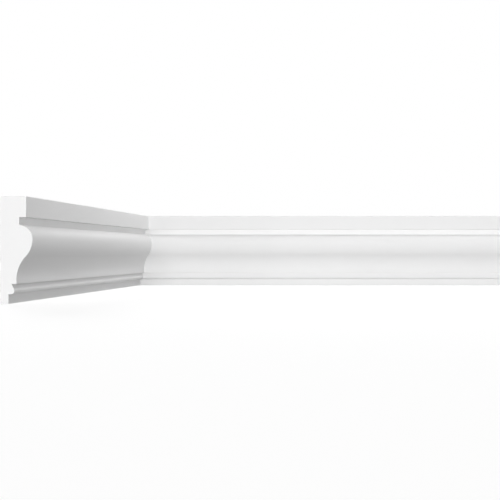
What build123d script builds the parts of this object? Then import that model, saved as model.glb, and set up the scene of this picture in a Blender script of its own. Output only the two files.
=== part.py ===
from build123d import *

import os
from math import acos, atan, atan2, degrees, hypot, sin

# Cornice moulding at an inside corner: a long run and a short return, mitred and glued.
# Units are mm. The two walls meet on the Z axis: the long run's back is on the wall y = 0 and runs
# along +X, and the return's back is on the wall x = 0 and runs along -Y. Both stand on z = 0.
# In the section, the first number is the depth from the wall and the second the height.

os.makedirs("parts", exist_ok=True)

# Lengths, measured along the wall
RUN_LENGTH = 2000.0
RETURN_LENGTH = 450.0

# Depths of the members from the wall
FASCIA_DEPTH = 7.7
QUIRK_DEPTH = 10.7
BEAD_DEPTH = 13.2
COVE_DEPTH = 15.1
NOSE_DEPTH = 30.0
RECESS_DEPTH = 17.75
CROWN_DEPTH = 24.0

# Heights of the members, stacked from the bottom edge to the ceiling
FASCIA_HEIGHT = 8.9
BEAD_HEIGHT = 9.6
COVE_FOOT_HEIGHT = 3.7
OGEE_HEIGHT = 37.8
RECESS_HEIGHT = 7.06
CROWN_HEIGHT = 19.5

# Radii of the curves and of the softened front arrises
BEAD_RADIUS = 3.2
NOSE_RADIUS = 23.5
SWELL_RADIUS = 13.5
ARRIS_RADIUS = 0.5

# Levels that follow from the stack, the swell closing on the recessed fillet above the nose
QUIRK_LEVEL = FASCIA_HEIGHT + BEAD_HEIGHT
COVE_LEVEL = QUIRK_LEVEL + COVE_FOOT_HEIGHT
NOSE_LEVEL = COVE_LEVEL + OGEE_HEIGHT
SWELL_SWEEP = acos((RECESS_DEPTH - NOSE_DEPTH + SWELL_RADIUS) / SWELL_RADIUS)
RECESS_LEVEL = NOSE_LEVEL + SWELL_RADIUS * sin(SWELL_SWEEP)
CROWN_LEVEL = RECESS_LEVEL + RECESS_HEIGHT
CEILING_LEVEL = CROWN_LEVEL + CROWN_HEIGHT

# Ogee: two tangent arcs, upright at the nose and at the foot of the cove
OGEE_SWEEP = 2 * atan((NOSE_DEPTH - COVE_DEPTH) / OGEE_HEIGHT)
COVE_RADIUS = OGEE_HEIGHT / sin(OGEE_SWEEP) - NOSE_RADIUS

# Bead: a nose arc on the fascia's top, its flank running tangent up into the quirk
BEAD_CENTRE = (BEAD_DEPTH - BEAD_RADIUS, FASCIA_HEIGHT + BEAD_RADIUS)
TO_QUIRK = (QUIRK_DEPTH - BEAD_CENTRE[0], QUIRK_LEVEL - BEAD_CENTRE[1])
FLANK_ANGLE = atan2(TO_QUIRK[1], TO_QUIRK[0]) - acos(BEAD_RADIUS / hypot(*TO_QUIRK))

# Section of the stock, shared by both lengths
with BuildSketch() as section:
    with BuildLine():
        foot = Polyline(
            (0, 0),
            (FASCIA_DEPTH, 0),
            (FASCIA_DEPTH, FASCIA_HEIGHT),
            (BEAD_CENTRE[0], FASCIA_HEIGHT),
        )
        bead = CenterArc(BEAD_CENTRE, BEAD_RADIUS, -90, 90 + degrees(FLANK_ANGLE))
        quirk = Polyline(
            bead @ 1,
            (QUIRK_DEPTH, QUIRK_LEVEL),
            (COVE_DEPTH, QUIRK_LEVEL),
            (COVE_DEPTH, COVE_LEVEL),
        )
        cove = CenterArc(
            (COVE_DEPTH + COVE_RADIUS, COVE_LEVEL), COVE_RADIUS, 180, -degrees(OGEE_SWEEP)
        )
        nose = CenterArc(
            (NOSE_DEPTH - NOSE_RADIUS, NOSE_LEVEL),
            NOSE_RADIUS,
            -degrees(OGEE_SWEEP),
            degrees(OGEE_SWEEP),
        )
        swell = CenterArc(
            (NOSE_DEPTH - SWELL_RADIUS, NOSE_LEVEL), SWELL_RADIUS, 0, degrees(SWELL_SWEEP)
        )
        head = Polyline(
            swell @ 1,
            (RECESS_DEPTH, CROWN_LEVEL),
            (CROWN_DEPTH, CROWN_LEVEL),
            (CROWN_DEPTH, CEILING_LEVEL),
            (0, CEILING_LEVEL),
            (0, 0),
        )
    make_face()
    arrises = [
        (FASCIA_DEPTH, 0),
        (COVE_DEPTH, QUIRK_LEVEL),
        (CROWN_DEPTH, CROWN_LEVEL),
        (CROWN_DEPTH, CEILING_LEVEL),
    ]
    fillet([section.vertices().sort_by_distance(at)[0] for at in arrises], radius=ARRIS_RADIUS)

# The mitre stands on the corner of the walls, halfway between them
mitre = Plane(origin=(0, 0, 0), x_dir=(1, -1, 0), z_dir=(1, 1, 0))

# Long run: sawn square at the far right end, mitred at the corner
with BuildPart() as long_run:
    with BuildSketch(Plane(origin=(RUN_LENGTH, 0, 0), x_dir=(0, -1, 0), z_dir=(-1, 0, 0))):
        add(section.sketch)
    extrude(amount=RUN_LENGTH)
    split(bisect_by=mitre, keep=Keep.TOP)
long_run.part.label = "long_run"
export_step(long_run.part, "parts/long_run.step")

# Short return: sawn square at the near end, mitred at the corner
with BuildPart() as short_return:
    with BuildSketch(Plane(origin=(0, -RETURN_LENGTH, 0), x_dir=(1, 0, 0), z_dir=(0, -1, 0))):
        add(section.sketch)
    extrude(amount=-RETURN_LENGTH)
    split(bisect_by=mitre, keep=Keep.BOTTOM)
short_return.part.label = "short_return"
export_step(short_return.part, "parts/short_return.step")
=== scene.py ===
from math import acos, atan, atan2, cos, hypot, radians, sin

import bmesh
import bpy
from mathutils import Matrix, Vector


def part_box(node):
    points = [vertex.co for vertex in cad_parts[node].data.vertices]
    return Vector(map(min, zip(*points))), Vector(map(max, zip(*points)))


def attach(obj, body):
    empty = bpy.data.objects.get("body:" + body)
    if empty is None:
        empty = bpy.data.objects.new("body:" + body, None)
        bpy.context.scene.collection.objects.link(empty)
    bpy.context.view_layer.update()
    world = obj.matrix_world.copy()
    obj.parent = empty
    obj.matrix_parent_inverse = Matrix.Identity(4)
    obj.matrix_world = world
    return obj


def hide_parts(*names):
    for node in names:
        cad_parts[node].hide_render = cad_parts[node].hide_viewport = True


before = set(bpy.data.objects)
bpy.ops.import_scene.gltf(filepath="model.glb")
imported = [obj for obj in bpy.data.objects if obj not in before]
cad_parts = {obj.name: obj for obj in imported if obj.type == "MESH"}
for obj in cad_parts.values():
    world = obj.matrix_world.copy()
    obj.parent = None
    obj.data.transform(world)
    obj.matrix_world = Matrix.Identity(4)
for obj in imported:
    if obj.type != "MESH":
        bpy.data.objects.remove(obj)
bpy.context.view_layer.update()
scene = bpy.context.scene
scene.view_settings.view_transform = "Standard"


# Long run: the length of cornice on the far wall. It is a 2 m stick of rigid foam, cast in a
# smooth mould and primed white at the works, then sawn square at the right end and mitred where
# the walls meet. The flat back is glued to the wall and the top edge closes on the ceiling.
UP = Vector((0, 0, 1))
RUN_OUT, RUN_ALONG = Vector((0, -1, 0)), Vector((1, 0, 0))
RUN_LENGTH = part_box("long_run")[1][0]
FASCIA_DEPTH, FASCIA_HEIGHT = 0.0077, 0.0089
QUIRK_DEPTH, BEAD_HEIGHT = 0.0107, 0.0096
BEAD_DEPTH, BEAD_RADIUS = 0.0132, 0.0032
COVE_DEPTH, COVE_FOOT_HEIGHT = 0.0151, 0.0037
NOSE_DEPTH, NOSE_RADIUS, OGEE_HEIGHT = 0.030, 0.0235, 0.0378
SWELL_RADIUS = 0.0135
RECESS_DEPTH, RECESS_HEIGHT = 0.01775, 0.00706
CROWN_DEPTH, CROWN_HEIGHT = 0.024, 0.0195
ARRIS_RADIUS, ARRIS_STEPS = 0.0005, 4
CURVE_STEP, FEWEST_STEPS = 0.0007, 6
SAWN_EDGE, SAWN_EDGE_STEPS = 0.0002, 2
CELL_LENGTH = 0.1
SMOOTH_ANGLE = radians(35)
TOUCHING, FACING = 1e-5, 0.999


def point_at(out, depth, height):
    """The place in a section: so far out from the wall, and so high above the bottom edge."""
    return out * depth + UP * height


def pen_point(stick):
    drawn = bmesh.from_edit_mesh(stick.data)
    return next(v.co.copy() for v in drawn.verts if v.select)


def draw_to(stick, out, depth, height):
    step = point_at(out, depth, height) - pen_point(stick)
    bpy.ops.mesh.extrude_region_move(TRANSFORM_OT_translate={"value": step})


def sweep_round(out, depth, height, radius, turn):
    """Swings the pen round a centre, in steps about as long all round the section."""
    bpy.ops.mesh.spin(
        steps=max(FEWEST_STEPS, round(radius * abs(turn) / CURVE_STEP)),
        angle=-turn,
        center=point_at(out, depth, height),
        axis=out.cross(UP),
    )


def pick_edges(stick, wanted):
    """Selects the edges whose two ends pass the test."""
    drawn = bmesh.from_edit_mesh(stick.data)
    for edge in drawn.edges:
        edge.select_set(False)
    for edge in drawn.edges:
        if wanted(edge.verts[0].co, edge.verts[1].co):
            edge.select_set(True)
    drawn.select_flush_mode()
    bmesh.update_edit_mesh(stick.data)


def pick_faces(stick, normal):
    """Selects the flat faces that look one way."""
    drawn = bmesh.from_edit_mesh(stick.data)
    for face in drawn.faces:
        face.select_set(face.normal.dot(normal) > FACING)
    bmesh.update_edit_mesh(stick.data)


def cast_stick(name, out, along, length):
    """Draws the section in the corner of the walls and pulls it out along its wall."""
    quirk = FASCIA_HEIGHT + BEAD_HEIGHT
    cove = quirk + COVE_FOOT_HEIGHT
    nose = cove + OGEE_HEIGHT
    swell_turn = acos((RECESS_DEPTH - NOSE_DEPTH + SWELL_RADIUS) / SWELL_RADIUS)
    crown = nose + SWELL_RADIUS * sin(swell_turn) + RECESS_HEIGHT
    ceiling = crown + CROWN_HEIGHT
    ogee_turn = 2 * atan((NOSE_DEPTH - COVE_DEPTH) / OGEE_HEIGHT)
    cove_radius = OGEE_HEIGHT / sin(ogee_turn) - NOSE_RADIUS
    bead_out, bead_up = BEAD_DEPTH - BEAD_RADIUS, FASCIA_HEIGHT + BEAD_RADIUS
    to_quirk = (QUIRK_DEPTH - bead_out, quirk - bead_up)
    flank = atan2(to_quirk[1], to_quirk[0]) - acos(BEAD_RADIUS / hypot(*to_quirk))

    bpy.ops.object.select_all(action="DESELECT")
    bpy.ops.mesh.primitive_plane_add(size=FASCIA_DEPTH, location=(0, 0, 0))
    stick = bpy.context.object
    stick.name = stick.data.name = name
    bpy.ops.object.mode_set(mode="EDIT")
    bpy.ops.mesh.select_mode(type="VERT")
    bpy.ops.mesh.select_all(action="SELECT")
    bpy.ops.mesh.merge(type="CENTER")
    draw_to(stick, out, FASCIA_DEPTH, 0)
    draw_to(stick, out, FASCIA_DEPTH, FASCIA_HEIGHT)
    draw_to(stick, out, bead_out, FASCIA_HEIGHT)
    sweep_round(out, bead_out, bead_up, BEAD_RADIUS, radians(90) + flank)
    draw_to(stick, out, QUIRK_DEPTH, quirk)
    draw_to(stick, out, COVE_DEPTH, quirk)
    draw_to(stick, out, COVE_DEPTH, cove)
    sweep_round(out, COVE_DEPTH + cove_radius, cove, cove_radius, -ogee_turn)
    sweep_round(out, NOSE_DEPTH - NOSE_RADIUS, nose, NOSE_RADIUS, ogee_turn)
    sweep_round(out, NOSE_DEPTH - SWELL_RADIUS, nose, SWELL_RADIUS, swell_turn)
    draw_to(stick, out, RECESS_DEPTH, crown)
    draw_to(stick, out, CROWN_DEPTH, crown)
    draw_to(stick, out, CROWN_DEPTH, ceiling)
    draw_to(stick, out, 0, ceiling)
    bpy.ops.mesh.select_all(action="SELECT")
    bpy.ops.mesh.edge_face_add()
    bpy.ops.mesh.extrude_region_move(TRANSFORM_OT_translate={"value": along * length})
    bpy.ops.mesh.select_all(action="SELECT")
    bpy.ops.mesh.normals_make_consistent(inside=False)

    sharp = [(FASCIA_DEPTH, 0), (COVE_DEPTH, quirk), (CROWN_DEPTH, crown), (CROWN_DEPTH, ceiling)]
    arrises = [point_at(out, depth, height) for depth, height in sharp]

    def on_arris(a, b):
        if abs((b - a).dot(along)) < length / 2:
            return False
        return any((a - a.dot(along) * along - arris).length < TOUCHING for arris in arrises)

    pick_edges(stick, on_arris)
    bpy.ops.mesh.bevel(offset=ARRIS_RADIUS, segments=ARRIS_STEPS, affect="EDGES")
    return stick


def saw_mitre(keep):
    """Cuts the stick on the upright plane halfway between the walls."""
    bpy.ops.mesh.select_all(action="SELECT")
    bpy.ops.mesh.bisect(plane_co=(0, 0, 0), plane_no=keep, use_fill=True, clear_inner=True)


def finish_stick(stick, out, along, length, coat, sawn, back):
    """Dulls the sawn edge, divides the length, and gives the sawn end and the back their finish."""
    pick_edges(stick, lambda a, b: min(a.dot(along), b.dot(along)) > length - TOUCHING)
    bpy.ops.mesh.bevel(offset=SAWN_EDGE, segments=SAWN_EDGE_STEPS, affect="EDGES")
    pick_edges(stick, lambda a, b: (b - a).length > length / 2)
    bpy.ops.mesh.subdivide(number_cuts=round(length / CELL_LENGTH) - 1)
    bpy.ops.mesh.select_all(action="SELECT")
    bpy.ops.mesh.normals_make_consistent(inside=False)
    for finish in (coat, sawn, back):
        stick.data.materials.append(finish)
    bpy.ops.mesh.select_mode(type="FACE")
    for slot, normal in ((1, along), (2, -out)):
        pick_faces(stick, normal)
        stick.active_material_index = slot
        bpy.ops.object.material_slot_assign()
    bpy.ops.object.mode_set(mode="OBJECT")
    bpy.ops.object.shade_smooth_by_angle(angle=SMOOTH_ANGLE)
    bpy.ops.object.modifier_add(type="WEIGHTED_NORMAL")
    stick.modifiers[-1].keep_sharp = True
    bpy.ops.object.modifier_apply(modifier=stick.modifiers[-1].name)


def start_finish(name, sheen, tones, tone_stops):
    """A material that reads Object coordinates, with a ramp of two tones for its colour."""
    finish = bpy.data.materials.new(name)
    finish.use_nodes = True
    nodes, links = finish.node_tree.nodes, finish.node_tree.links
    shader = nodes["Principled BSDF"]
    shader.inputs["Specular IOR Level"].default_value = sheen
    place = nodes.new("ShaderNodeTexCoord").outputs["Object"]
    tone = nodes.new("ShaderNodeValToRGB")
    for end, colour, stop in zip(tone.color_ramp.elements, tones, tone_stops):
        end.color = (*colour, 1)
        end.position = stop
    links.new(tone.outputs["Color"], shader.inputs["Base Color"])
    return finish, shader, place, tone


def add_noise(nodes, links, place, scale, detail):
    noise = nodes.new("ShaderNodeTexNoise")
    noise.inputs["Scale"].default_value = scale
    noise.inputs["Detail"].default_value = detail
    links.new(place, noise.inputs["Vector"])
    return noise.outputs["Fac"]


def add_strokes(nodes, links, place, along, across):
    """Fine strokes that run level along a stick: noise drawn out along it."""
    drawn_out = nodes.new("ShaderNodeMapping")
    drawn_out.inputs["Scale"].default_value = (along, along, across)
    links.new(place, drawn_out.inputs["Vector"])
    return add_noise(nodes, links, drawn_out.outputs["Vector"], scale=1.0, detail=3)


def add_relief(nodes, links, pattern, strength, depth, under=None):
    """Presses a pattern into the surface as bump, over an earlier one where there is one."""
    relief = nodes.new("ShaderNodeBump")
    relief.inputs["Strength"].default_value = strength
    relief.inputs["Distance"].default_value = depth
    links.new(pattern, relief.inputs["Height"])
    if under is not None:
        links.new(under, relief.inputs["Normal"])
    return relief.outputs["Normal"]


PRIMER_SHEEN, FOAM_SHEEN = 0.3, 0.2
PRIMER_TONES = (0.925, 0.925, 0.925), (0.94, 0.94, 0.94)
SAWN_TONES = (0.915, 0.915, 0.915), (0.89, 0.89, 0.89)
BACK_TONES = (0.885, 0.88, 0.865), (0.915, 0.91, 0.9)
FULL_RAMP, NOISE_RAMP = (0, 1), (0.3, 0.7)
PRIMER_ROUGH_LEAST, PRIMER_ROUGH_MOST = 0.52, 0.66
SAWN_ROUGH, BACK_ROUGH = 0.8, 0.75
FOAM_CELL_SCALE = 1800


def make_primer():
    """Factory primer: an even matt white spray coat with a faint orange peel."""
    coat, shader, place, tone = start_finish("primer_coat", PRIMER_SHEEN, PRIMER_TONES, NOISE_RAMP)
    nodes, links = coat.node_tree.nodes, coat.node_tree.links
    drift = add_noise(nodes, links, place, scale=14, detail=3)
    links.new(drift, tone.inputs["Fac"])
    dullness = nodes.new("ShaderNodeMapRange")
    dullness.inputs["To Min"].default_value = PRIMER_ROUGH_LEAST
    dullness.inputs["To Max"].default_value = PRIMER_ROUGH_MOST
    links.new(drift, dullness.inputs["Value"])
    links.new(dullness.outputs["Result"], shader.inputs["Roughness"])
    grain = add_noise(nodes, links, place, scale=900, detail=2)
    peel = add_relief(nodes, links, grain, strength=0.12, depth=0.0001)
    links.new(peel, shader.inputs["Normal"])
    return coat


def make_sawn_foam():
    """The sawn end: close white cells, crossed by faint strokes of the saw."""
    foam, shader, place, tone = start_finish("sawn_foam", FOAM_SHEEN, SAWN_TONES, FULL_RAMP)
    nodes, links = foam.node_tree.nodes, foam.node_tree.links
    shader.inputs["Roughness"].default_value = SAWN_ROUGH
    cells = nodes.new("ShaderNodeTexVoronoi")
    cells.inputs["Scale"].default_value = FOAM_CELL_SCALE
    links.new(place, cells.inputs["Vector"])
    links.new(cells.outputs["Distance"], tone.inputs["Fac"])
    pits = add_relief(nodes, links, cells.outputs["Distance"], strength=0.2, depth=0.0001)
    strokes = add_strokes(nodes, links, place, along=30, across=1100)
    scored = add_relief(nodes, links, strokes, strength=0.15, depth=0.0002, under=pits)
    links.new(scored, shader.inputs["Normal"])
    return foam


def make_sanded_back():
    """The glued side: bare foam, a shade warmer than the primer, sanded flat along the stick."""
    back, shader, place, tone = start_finish("sanded_back", FOAM_SHEEN, BACK_TONES, NOISE_RAMP)
    nodes, links = back.node_tree.nodes, back.node_tree.links
    shader.inputs["Roughness"].default_value = BACK_ROUGH
    strokes = add_strokes(nodes, links, place, along=8, across=700)
    links.new(strokes, tone.inputs["Fac"])
    scratches = add_relief(nodes, links, strokes, strength=0.2, depth=0.0002)
    links.new(scratches, shader.inputs["Normal"])
    return back


primer_coat, sawn_foam, sanded_back = make_primer(), make_sawn_foam(), make_sanded_back()
long_run = cast_stick("long_run_cornice", RUN_OUT, RUN_ALONG, RUN_LENGTH)
saw_mitre((1, 1, 0))
finish_stick(long_run, RUN_OUT, RUN_ALONG, RUN_LENGTH, primer_coat, sawn_foam, sanded_back)
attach(long_run, "root")
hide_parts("long_run")


# Short return: an offcut of the same stick on the near wall, coming toward the viewer. It is mitred
# and glued to the long run in the corner and sawn square at the near end, where the section shows.
RETURN_OUT, RETURN_ALONG = Vector((1, 0, 0)), Vector((0, -1, 0))
RETURN_LENGTH = -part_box("short_return")[0][1]
short_return = cast_stick("short_return_cornice", RETURN_OUT, RETURN_ALONG, RETURN_LENGTH)
saw_mitre((-1, -1, 0))
finish_stick(
    short_return, RETURN_OUT, RETURN_ALONG, RETURN_LENGTH, primer_coat, sawn_foam, sanded_back
)
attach(short_return, "root")
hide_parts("short_return")


# Studio floor: plain pale paper that the moulding stands on. What the eye and the sheen see of it is
# lifted close to white, on top of its own light and shade, so the moulding's shadow stays on it.
# It lies a hair under the moulding's foot, so that the two aren't in one plane.
FLOOR_SIZE, FLOOR_PLACE = 30, (0.8, -0.2, -0.0003)
PAPER_TONE = (0.55, 0.55, 0.55, 1)
PAPER_LIFT = 0.72
bpy.ops.object.select_all(action="DESELECT")
bpy.ops.mesh.primitive_plane_add(size=FLOOR_SIZE, location=FLOOR_PLACE)
floor = bpy.context.object
floor.name = "studio_floor"


def seen_directly(nodes, links):
    """1 where the eye, a reflection or a see-through part looks, and 0 for light that is passed on."""
    path = nodes.new("ShaderNodeLightPath")
    shine = nodes.new("ShaderNodeMath")
    shine.operation = "MAXIMUM"
    seen = nodes.new("ShaderNodeMath")
    seen.operation = "MAXIMUM"
    links.new(path.outputs["Is Glossy Ray"], shine.inputs[0])
    links.new(path.outputs["Is Transmission Ray"], shine.inputs[1])
    links.new(path.outputs["Is Camera Ray"], seen.inputs[0])
    links.new(shine.outputs["Value"], seen.inputs[1])
    return seen.outputs["Value"]


paper = bpy.data.materials.new("studio_paper")
paper.use_nodes = True
nodes, links = paper.node_tree.nodes, paper.node_tree.links
nodes.clear()
matt = nodes.new("ShaderNodeBsdfDiffuse")
matt.inputs["Color"].default_value = PAPER_TONE
white = nodes.new("ShaderNodeEmission")
lift = nodes.new("ShaderNodeMath")
lift.operation = "MULTIPLY"
lift.inputs[1].default_value = PAPER_LIFT
sheet = nodes.new("ShaderNodeAddShader")
surface = nodes.new("ShaderNodeOutputMaterial")
links.new(seen_directly(nodes, links), lift.inputs[0])
links.new(lift.outputs["Value"], white.inputs["Strength"])
links.new(matt.outputs["BSDF"], sheet.inputs[0])
links.new(white.outputs["Emission"], sheet.inputs[1])
links.new(sheet.outputs["Shader"], surface.inputs["Surface"])
floor.data.materials.append(paper)


# Studio light: a white room that shows as white. A low soft box stands before the run and a weaker
# one to its left, with a lamp high on the right. The return, which faces away from the boxes, gets
# its light from far right, from a lamp above and from a box over the run's wall. Two light the backs.
ROOM_LIGHT = 0.1
STAND_REACH = 3.0
RUN_MIDDLE, RUN_FAR_HALF = Vector((0.25, -0.1, 0.05)), Vector((1.4, 0, 0.05))
RETURN_MIDDLE = Vector((0.02, -0.15, 0.05))
FAR_BACK_STAND, RIGHT_STAND = (0, 3.2, 0.6), (3.2, -0.7, 0.3)
TOP_STAND, WALL_STAND = (0.55, -0.1, 1.0), Vector((0.3, 0, 0.26))
room = bpy.data.worlds.new("studio_room")
scene.world = room
room.use_nodes = True
nodes, links = room.node_tree.nodes, room.node_tree.links
backdrop = nodes["Background"]
backdrop.inputs["Color"].default_value = (1, 1, 1, 1)
level = nodes.new("ShaderNodeMapRange")
level.inputs["To Min"].default_value = ROOM_LIGHT
level.inputs["To Max"].default_value = 1.0
links.new(seen_directly(nodes, links), level.inputs["Value"])
links.new(level.outputs["Result"], backdrop.inputs["Strength"])


def from_side(azimuth, elevation):
    """A place on the ring of stands round the run's visible end."""
    turn, rise = radians(azimuth), radians(elevation)
    level_out = Vector((sin(turn), -cos(turn), 0))
    return RUN_MIDDLE + STAND_REACH * (cos(rise) * level_out + sin(rise) * UP)


def hang_lamp(name, place, aim, watts, wide, high=None):
    """A soft lamp turned to what it lights: round, or a box where it has a height."""
    bpy.ops.object.light_add(type="AREA", location=place)
    lamp = bpy.context.object
    lamp.name = name
    lamp.data.shape = "DISK" if high is None else "RECTANGLE"
    lamp.data.size = wide
    lamp.data.size_y = high or wide
    lamp.data.energy = watts
    lamp.rotation_euler = (aim - lamp.location).to_track_quat("-Z", "Y").to_euler()
    lamp.visible_camera = False


hang_lamp("front_box", from_side(azimuth=0, elevation=2.1), RUN_MIDDLE, watts=47, wide=1.0, high=0.3)
hang_lamp("left_box", from_side(azimuth=-20, elevation=2.1), RUN_MIDDLE, watts=7, wide=1.0, high=0.3)
hang_lamp("high_lamp", from_side(azimuth=20, elevation=30), RUN_MIDDLE, watts=7, wide=1.0)
hang_lamp("back_lamp", from_side(azimuth=-140, elevation=25), RUN_MIDDLE, watts=35, wide=1.0)
hang_lamp("far_back_lamp", FAR_BACK_STAND, RUN_FAR_HALF, watts=38, wide=1.0)
hang_lamp("right_lamp", RIGHT_STAND, RETURN_MIDDLE, watts=7, wide=0.8)
hang_lamp("top_lamp", TOP_STAND, RETURN_MIDDLE, watts=2.4, wide=0.25)
hang_lamp("wall_box", WALL_STAND, WALL_STAND + RUN_OUT, watts=0.48, wide=0.6, high=0.3)


# Camera: level and square to the long wall, at half the moulding's height and 1.2 m off. Its view is
# shifted left, so that the corner is in the left third and the run leaves the frame on the right.
CAMERA_PLACE = (0.3462, -1.230, 0.04807)
LENS, SENSOR = 60.5, 36.0
SHIFT_X, SHIFT_Y = -0.2461, 0.0042
bpy.ops.object.camera_add(location=CAMERA_PLACE, rotation=(radians(90), 0, 0))
camera = bpy.context.object
camera.data.sensor_width = SENSOR
camera.data.lens = LENS
camera.data.shift_x = SHIFT_X
camera.data.shift_y = SHIFT_Y
scene.camera = camera
